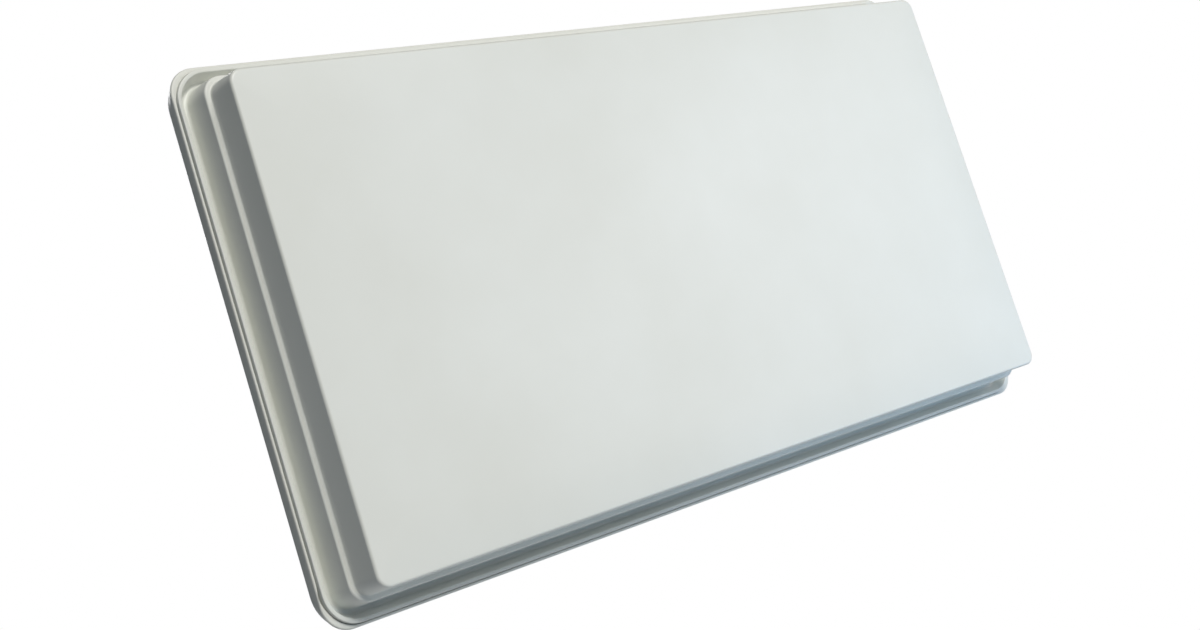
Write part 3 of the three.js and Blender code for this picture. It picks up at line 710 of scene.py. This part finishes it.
def mast_bracket():
    high = corners("mast_bracket")[1]
    fold = CLAMP_BEND + CLAMP_SHEET
    middle_bend = CLAMP_BEND + CLAMP_SHEET / 2
    length = middle_bend * math.pi / 2
    ear = high.x - fold
    flap = high.z - fold
    ear_flat = ear + length + (CLAMP_WEB_Y + CLAMP_SHEET - fold)
    flap_flat = flap + length - (CLAMP_WEB_Y + fold)
    pivot = ear_flat - PIVOT.y
    lock = pivot + LOCK_CIRCLE
    edge, apex = high.y + flap_flat, flap_flat - V_DEPTH
    side = [(42, flap - 1.6, 0.6), (43.8, flap - 1.6, 0.6), (43.8, high.z, 1.2)]
    right = [(42, -edge, 3)] + [(u, -v, r) for u, v, r in side] + [(48.2, -high.z, 3), (pivot, -20, 12)]
    right += plain_points(arc(lock, 0, 12, -60, 60, 14))
    right += [(pivot, 20, 12), (48.2, high.z, 3)] + side[::-1] + [(42, edge, 3)]
    left = [(-u, v, r) for u, v, r in reversed(right)]
    notch = v_edge(V_MOUTH, edge, apex)
    lower = [(-u, -v, r) for u, v, r in notch]
    outline = rounded(right + notch + left + lower, closed=True)
    holes = []
    for s in (-1, 1):
        holes.append(square_hole(s * CLAMP_BOLT_X, M8_HOLE, 0.6))
        holes.append(round_hole(s * pivot, 0, M8_HOLE))
        holes.append(round_hole(s * lock, 0, M6_HOLE))
    bm = plate(outline, holes, CLAMP_SHEET, 0.3)
    bend(bm, 1, flap, middle_bend, 1, lambda u, v: abs(u) < 42.6)
    bend(bm, 0, ear, middle_bend, -1)
    laid(bm, lambda u, v, w: (u, CLAMP_WEB_Y + CLAMP_SHEET / 2 + w, v))
    steady_normals(add_piece("mast_bracket_folded", "mast_bracket", bm))


def square_hole(u, half, radius):
    """The hole that keeps a carriage bolt from turning."""
    return rounded([(u - half, -half, radius), (u + half, -half, radius),
                    (u + half, half, radius), (u - half, half, radius)], closed=True)


def clamp_jaw():
    low, high = corners("clamp_jaw")
    fold = CLAMP_BEND + CLAMP_SHEET
    middle_bend = CLAMP_BEND + CLAMP_SHEET / 2
    flap = high.z - fold
    flat = flap + middle_bend * math.pi / 2 + high.y - fold
    edge, apex = flat - low.y, flat - V_DEPTH
    notch = v_edge(V_MOUTH, edge, apex)
    outline = [(high.x, -edge, 4), (high.x, edge, 4)] + notch + [(low.x, edge, 4), (low.x, -edge, 4)]
    outline += [(-u, -v, r) for u, v, r in notch]
    holes = [round_hole(s * CLAMP_BOLT_X, 0, M8_HOLE) for s in (-1, 1)]
    bm = plate(rounded(outline, closed=True), holes, CLAMP_SHEET, 0.3)
    bend(bm, 1, flap, middle_bend, -1)
    laid(bm, lambda u, v, w: (u, high.y - CLAMP_SHEET / 2 + w, v))
    steady_normals(add_piece("clamp_jaw_folded", "clamp_jaw", bm))


# ---- fasteners ----
def hexagon(across):
    """The radius of a hexagon at an angle, from its width across flats."""
    return lambda phi: across / 2 / math.cos((phi + math.pi / 6) % (math.pi / 3) - math.pi / 6)


def chamfer(across):
    """How far a round chamfer cuts a hexagon's corners back along its axis, at an angle."""
    outer = hexagon(across)
    return lambda phi: (outer(phi) - across * 0.485) * 0.6


def thread(bm, centre, axis, radius, length, pitch, smooth=0.0, depth=0.62):
    """A shank from centre along axis with a single start thread past its smooth part."""
    cut = pitch * depth
    rings = [(radius * 0.5, 0.0), (radius, 0.0)]
    if smooth > 0:
        rings.append((radius, smooth))
    steps = int((length - smooth) / pitch * 6)
    for k in range(1, steps + 1):
        height = smooth + (length - smooth) * k / steps
        room = min(height - smooth, length - height + 0.2)

        def ridge(phi, height=height, room=room):
            phase = (height / pitch - phi / TAU) % 1
            groove = cut * (1 - abs(2 * phase - 1))
            return radius - max(groove, cut - room) if room < cut else radius - groove

        rings.append((ridge, height))
    rings += [(radius - cut - 0.1, length + 0.25), (0.2, length + 0.25)]
    return polar(bm, rings, centre, axis, False, 24)


def hex_head(bm, centre, axis, across, height):
    outer, cut = hexagon(across), chamfer(across)
    rings = [(across * 0.3, 0), (across * 0.46, 0), (across * 0.465, 0.3), (outer, 0.4),
             (outer, lambda phi: height - cut(phi)), (across * 0.455, height),
             (across * 0.2, height - 0.15)]
    return polar(bm, rings, centre, axis, False, 60)


def hex_nut(bm, centre, axis, across, height, bore):
    outer, cut = hexagon(across), chamfer(across)
    face = across * 0.465
    rings = [(bore + 0.5, 0), (face, 0), (outer, lambda phi: 0.02 + cut(phi)),
             (outer, lambda phi: height - 0.02 - cut(phi)), (face, height), (bore + 0.5, height),
             (bore, height - 0.5), (bore, 0.5)]
    return polar(bm, rings, centre, axis, True, 60)


def skew_bolts():
    head = 6
    flange = rounded([
        (3, 0, 0), (6.6, 0, 0.3), (6.6, 0.9, 0.5), (4.9, 1.7, 0.4), (4.4, 2.4, 0), (1, 2.4, 0),
    ])
    for i in range(1, 5):
        name = f"skew_bolt_{i}"
        low, high = corners(name)
        x, _, z = centre_of(name)
        seat = high.y - head
        bm = bmesh.new()
        thread(bm, (x, seat + 0.5, z), (0, -1, 0), M6_RADIUS, seat + 0.2 - low.y, M6_PITCH)
        polar(bm, flange, (x, seat, z), (0, 1, 0), False, 60)
        hex_head(bm, (x, seat + 1, z), (0, 1, 0), M6_ACROSS, head - 1)
        add_piece(name + "_threaded", name, bm)


def clamp_bolt(name):
    """A carriage bolt: a domed head, a square neck and a thread past its plain shank."""
    low, high = corners(name)
    x = centre_of(name)[0]
    head_height, plain_length = 4.6, 50
    head = low.y + head_height
    dome = [(4, 0), (8.6, 0), (8.6, 0.45), (8.2, 1.1), (7.1, 2.2), (5.6, 3.3), (3.9, 4.1), (2.1, 4.5),
            (0.3, head_height)]
    bm = polar(bmesh.new(), dome, (x, head, 0), (0, -1, 0), False, 48)
    neck = ((4, -0.4), (4, 2.1), (3.7, 2.5))
    skin(bm, [box_ring(x - half, x + half, -half, half, 0.5, head + rise, 3) for half, rise in neck])
    thread(bm, (x, head, 0), (0, 1, 0), M8_RADIUS, high.y - head - 0.25, M8_PITCH, plain_length)
    add_piece(f"{name}_threaded", name, bm)


def clamp_fixings():
    ring = rounded([
        (4.4, 0.8, 0), (4.4, 0, 0.2), (8.4, 0, 0.25), (8.4, 1.6, 0.4), (4.4, 1.6, 0.2), (4.4, 0.8, 0),
    ])[:-1]
    for side in ("left", "right"):
        clamp_bolt(f"clamp_bolt_{side}")
        x = centre_of(f"clamp_bolt_{side}")[0]
        low = corners(f"clamp_washer_{side}")[0]
        bm = polar(bmesh.new(), ring, (x, low.y, 0), (0, 1, 0), True, 48)
        add_piece(f"clamp_washer_{side}_pressed", f"clamp_washer_{side}", bm)
        low, high = corners(f"clamp_nut_{side}")
        bm = hex_nut(bmesh.new(), (x, low.y, 0), (0, 1, 0), M8_ACROSS, high.y - low.y, M8_BORE)
        add_piece(f"clamp_nut_{side}_chamfered", f"clamp_nut_{side}", bm)


def pivots():
    head = 5.3
    for name, side in (("left", -1), ("right", 1)):
        low, high = corners(f"pivot_bolt_{name}")
        outer, inner = (low.x, high.x) if side < 0 else (high.x, low.x)
        seat = (outer - side * head, PIVOT.y, PIVOT.z)
        bm = hex_head(bmesh.new(), seat, (side, 0, 0), M8_ACROSS, head)
        thread(bm, seat, (-side, 0, 0), M8_RADIUS, abs(seat[0] - inner) - 0.25, M8_PITCH, 3)
        add_piece(f"pivot_bolt_{name}_threaded", f"pivot_bolt_{name}", bm)
        low, high = corners(f"pivot_nut_{name}")
        start = (low.x if side > 0 else high.x, PIVOT.y, PIVOT.z)
        bm = hex_nut(bmesh.new(), start, (side, 0, 0), M8_ACROSS, high.x - low.x, M8_BORE)
        add_piece(f"pivot_nut_{name}_chamfered", f"pivot_nut_{name}", bm)


def locks():
    head = 4
    for name, side in (("left", -1), ("right", 1)):
        low, high = corners(f"lock_bolt_{name}")
        _, y, z = centre_of(f"lock_bolt_{name}")
        near, far = (high.x, low.x) if side < 0 else (low.x, high.x)
        seat = (near + side * head, y, z)
        bm = hex_head(bmesh.new(), seat, (-side, 0, 0), M6_ACROSS, head)
        thread(bm, seat, (side, 0, 0), M6_RADIUS, abs(far - seat[0]) - 0.25, M6_PITCH, 3)
        add_piece(f"lock_bolt_{name}_threaded", f"lock_bolt_{name}", bm)
        wing_nut(f"wing_nut_{name}", side, y, z)


def wing_nut(name, side, y, z):
    low, high = corners(name)
    base = low.x if side > 0 else high.x
    hub = rounded([
        (3.3, 3, 0), (3.3, 0, 0.3), (6.0, 0, 0.5), (5.6, 3.2, 1), (4.8, 7, 0.8), (3.3, 7, 0.3), (3.3, 3, 0),
    ])[:-1]
    bm = polar(bmesh.new(), hub, (base, y, z), (side, 0, 0), True, 40)
    wing = rounded([
        (-3.2, 3.0, 0), (3.2, 3.0, 0), (2.6, 8.2, 5), (3.0, 16, 3.2), (-3.6, 16, 3.2), (-4.6, 9.5, 4),
    ], closed=True)
    for up in (-1, 1):
        blade = plate(wing, [], 2.4, 0.8)
        laid(blade, lambda u, v, w: (base + side * 4.3 + w, y + u, z + up * v))
        mesh = bpy.data.meshes.new("blade")
        blade.to_mesh(mesh)
        blade.free()
        bm.from_mesh(mesh)
        bpy.data.meshes.remove(mesh)
    add_piece(name + "_cast", name, bm, 50)


def crossed(half, reach):
    """The radius of a cross recess at an angle, from half its arm's width and the arm's reach."""
    def radius(phi):
        off = (phi + math.pi / 4) % (math.pi / 2) - math.pi / 4
        return min(reach, half / max(abs(math.sin(off)), 1e-6))
    return radius


def cover_screws():
    head = 2
    rings = [(1.2, 0), (2.75, 0), (2.9, 0.25), (2.9, 0.9), (2.75, 1.35), (2.4, 1.75), (2.05, 1.95),
             (1.9, head), (crossed(0.42, 1.75), head), (crossed(0.3, 1.2), 0.9), (0.1, 0.7)]
    for i in range(1, 9):
        name = f"cover_screw_{i}"
        low, high = corners(name)
        x, _, z = centre_of(name)
        seat = high.y - head
        bm = polar(bmesh.new(), rings, (x, seat, z), (0, 1, 0), False, 64)
        thread(bm, (x, seat + 0.2, z), (0, -1, 0), 1.5, seat - low.y, 1.1, 1.0, 0.35)
        add_piece(name + "_crossed", name, bm)


# ---- outputs and vent ----
def connector_thread(pitch=0.79, length=8.7, steps=66):
    """Rings of the fine outer thread on an F connector, its first turn run out to nothing."""
    rings = []
    for k in range(1, steps):
        height = 0.05 + length * k / steps

        def ridge(phi, height=height):
            phase = (height / pitch - phi / TAU) % 1
            return 4.68 - 0.42 * (1 - abs(2 * phase - 1)) - max(0, 0.4 - height) * 0.8

        rings.append((ridge, height))
    return rings


def f_connector(name):
    low, high = corners(name)
    x, y, _ = centre_of(name)
    sleeve = [(3.6, 1.2), (3.75, 0.3), (4.15, 0.05)] + connector_thread()
    sleeve += [(4.3, 8.9), (4.3, 9.3), (4.66, 9.5), (4.66, 15.4), (3.4, 15.4)]
    sleeve += [(3.4, 9.8), (0.7, 9.8), (0.7, 8.2), (1.0, 7.9), (3.3, 7.9), (3.6, 8.0)]
    bm = polar(bmesh.new(), sleeve, (x, y, low.z), (0, 0, 1), True, 48)
    tall = high.z - low.z
    stem = [(0.4, 9.6), (2.1, 9.6), (2.1, tall), (0.4, tall)]
    polar(bm, stem, (x, y, low.z), (0, 0, 1), False, 32)
    add_piece(f"{name}_threaded", name, bm)


def outputs():
    for name in ("a", "b"):
        x, y, _ = centre_of(f"f_connector_{name}")
        f_connector(f"f_connector_{name}")
        low, high = corners(f"connector_nut_{name}")
        bm = hex_nut(bmesh.new(), (x, y, low.z), (0, 0, 1), 11, high.z - low.z, 4.8)
        add_piece(f"connector_nut_{name}_chamfered", f"connector_nut_{name}", bm)
        weather_cap(f"weather_cap_{name}", x, y)


def weather_cap(name, x, y):
    low, high = corners(name)
    tall = high.z - low.z

    def ribbed(inner, outer):
        return lambda phi: inner + (outer - inner) * (0.5 + 0.5 * math.cos(24 * phi)) ** 0.5

    rings = [(0.4, 0.35), (2.6, 0.3), (3.4, 0.0), (4.6, 0.05), (5.2, 0.35), (ribbed(5.4, 5.55), 0.9),
             (ribbed(5.5, 5.9), 1.5), (ribbed(5.5, 5.9), tall - 3.2), (5.5, tall - 2.6), (5.6, tall - 2.1),
             (6.05, tall - 1.9), (6.1, tall - 1.6), (6.1, tall - 0.7), (5.9, tall - 0.4), (5.9, tall - 0.1),
             (5.75, tall), (5.15, tall), (5.0, tall - 0.3), (5.0, 2.2), (4.7, 1.9), (0.4, 1.9)]
    bm = polar(bmesh.new(), rings, (x, y, low.z), (0, 0, 1), False, 192)
    add_piece(name + "_moulded", name, bm, 50)


def vent():
    low, high = corners("vent_plug")
    x, _, z = centre_of("vent_plug")
    tall = high.y - low.y

    def notched(outer, inner):
        return lambda phi: inner if (phi * 8 / TAU) % 1 < 0.3 else outer

    rings = [(0.4, 0), (2.7, 0), (3.0, 0.3), (3.0, tall - 1.6), (4.3, tall - 1.5), (4.6, tall - 1.2),
             (notched(4.6, 4.0), tall - 1.1), (notched(4.6, 4.0), tall - 0.5), (4.5, tall - 0.45),
             (4.1, tall - 0.1), (3.6, tall), (2.4, tall), (2.2, tall - 0.25), (0.4, tall - 0.3)]
    bm = polar(bmesh.new(), rings, (x, low.y, z), (0, 1, 0), False, 96)
    add_piece("vent_plug_notched", "vent_plug", bm)


# ---- camera and light ----
def camera():
    data = bpy.data.cameras.new("camera")
    data.sensor_width = 36
    data.lens = 49.887
    data.shift_x = 0.0109167
    data.shift_y = -0.051
    data.clip_end = 100
    holder = bpy.data.objects.new("camera", data)
    bpy.context.scene.collection.objects.link(holder)
    ahead = Vector((0.6381, 0.7616, 0.1134)).normalized()
    right = Vector((0.7526, -0.5858, -0.3006))
    right = (right - ahead * right.dot(ahead)).normalized()
    up = right.cross(ahead)
    turn = Matrix((right, up, -ahead)).transposed().to_4x4()
    holder.matrix_world = Matrix.Translation(Vector((-648, FACE_Y - 678, -96.3)) * MM) @ turn
    bpy.context.scene.camera = holder


def area(name, place, target, size, power, colour, spread=180):
    """A rectangular lamp, sized in metres, at a place and turned to a target; spread in degrees."""
    data = bpy.data.lights.new(name, "AREA")
    data.spread = math.radians(spread)
    data.shape = "RECTANGLE"
    data.size, data.size_y = size
    data.energy = power
    data.color = colour
    lamp = bpy.data.objects.new(name, data)
    bpy.context.scene.collection.objects.link(lamp)
    lamp.location = place
    lamp.rotation_euler = (Vector(target) - Vector(place)).to_track_quat("-Z", "Y").to_euler()


def lamps():
    area("key", (-0.25, -3.4, 2.3), (0.05, -0.2, 0), size=(1.8, 1.0), power=128, colour=(1.0, 0.98, 0.935))
    area("left_side", (-2.0, -1.0, 0.2), (-0.2, -0.2, 0), size=(0.8, 0.6), power=0.7,
         colour=(0.85, 0.86, 1.0))
    area("right_front", (0.95, -1.15, 0.12), (0.22, -0.2, 0), size=(0.6, 0.5), power=1.15,
         colour=(0.97, 0.95, 1.0), spread=100)
    area("cool_low", (0.75, -0.8, -0.52), (0.3, -0.2, -0.1), size=(0.4, 0.3), power=0.45,
         colour=(0.3, 0.62, 1.0), spread=75)
    area("rear", (0.3, 2.2, 0.95), (0, 0, 0), size=(1.3, 1.2), power=40, colour=(1, 1, 1))


def surroundings():
    """A faint cool fill; past the floor the camera sees plain white."""
    scene = bpy.context.scene
    scene.view_settings.view_transform = "Standard"
    world = bpy.data.worlds.new("studio")
    scene.world = world
    world.use_nodes = True
    tree = world.node_tree
    fill = tree.nodes["Background"]
    fill.inputs["Color"].default_value = (0.45, 0.72, 1.0, 1)
    fill.inputs["Strength"].default_value = 0.05
    white = tree.nodes.new("ShaderNodeBackground")
    white.inputs["Color"].default_value = (1, 1, 1, 1)
    rays = tree.nodes.new("ShaderNodeLightPath")
    mix = tree.nodes.new("ShaderNodeMixShader")
    tree.links.new(rays.outputs["Is Camera Ray"], mix.inputs["Fac"])
    tree.links.new(fill.outputs["Background"], mix.inputs[1])
    tree.links.new(white.outputs["Background"], mix.inputs[2])
    tree.links.new(mix.outputs["Shader"], tree.nodes["World Output"].inputs["Surface"])


def floor():
    """A thin round slab some way below the part."""
    radius, edge, thick, drop = 1800, 20, 30, 550
    top = cad_box[0][2] / MM - drop
    section = [(radius - edge, top), (radius, top - 4), (radius, top - thick), (10, top - thick)]
    rings = []
    for reach, z in section:
        turns = [TAU * i / 96 for i in range(96)]
        rings.append([(reach * math.cos(turn), reach * math.sin(turn), z) for turn in turns])
    look = Look("pale_floor", (0.63, 0.645, 0.665), 0.7)
    look.vary_colour(look.noise(3, 3), 0.985, 1.01)
    mesh_object("floor", skin(bmesh.new(), rings), look.material)


camera()
dress_cad_nodes()
cover()
housing()
tilt_bracket()
mast_bracket()
clamp_jaw()
skew_bolts()
clamp_fixings()
pivots()
locks()
cover_screws()
outputs()
vent()
surroundings()
lamps()
floor()
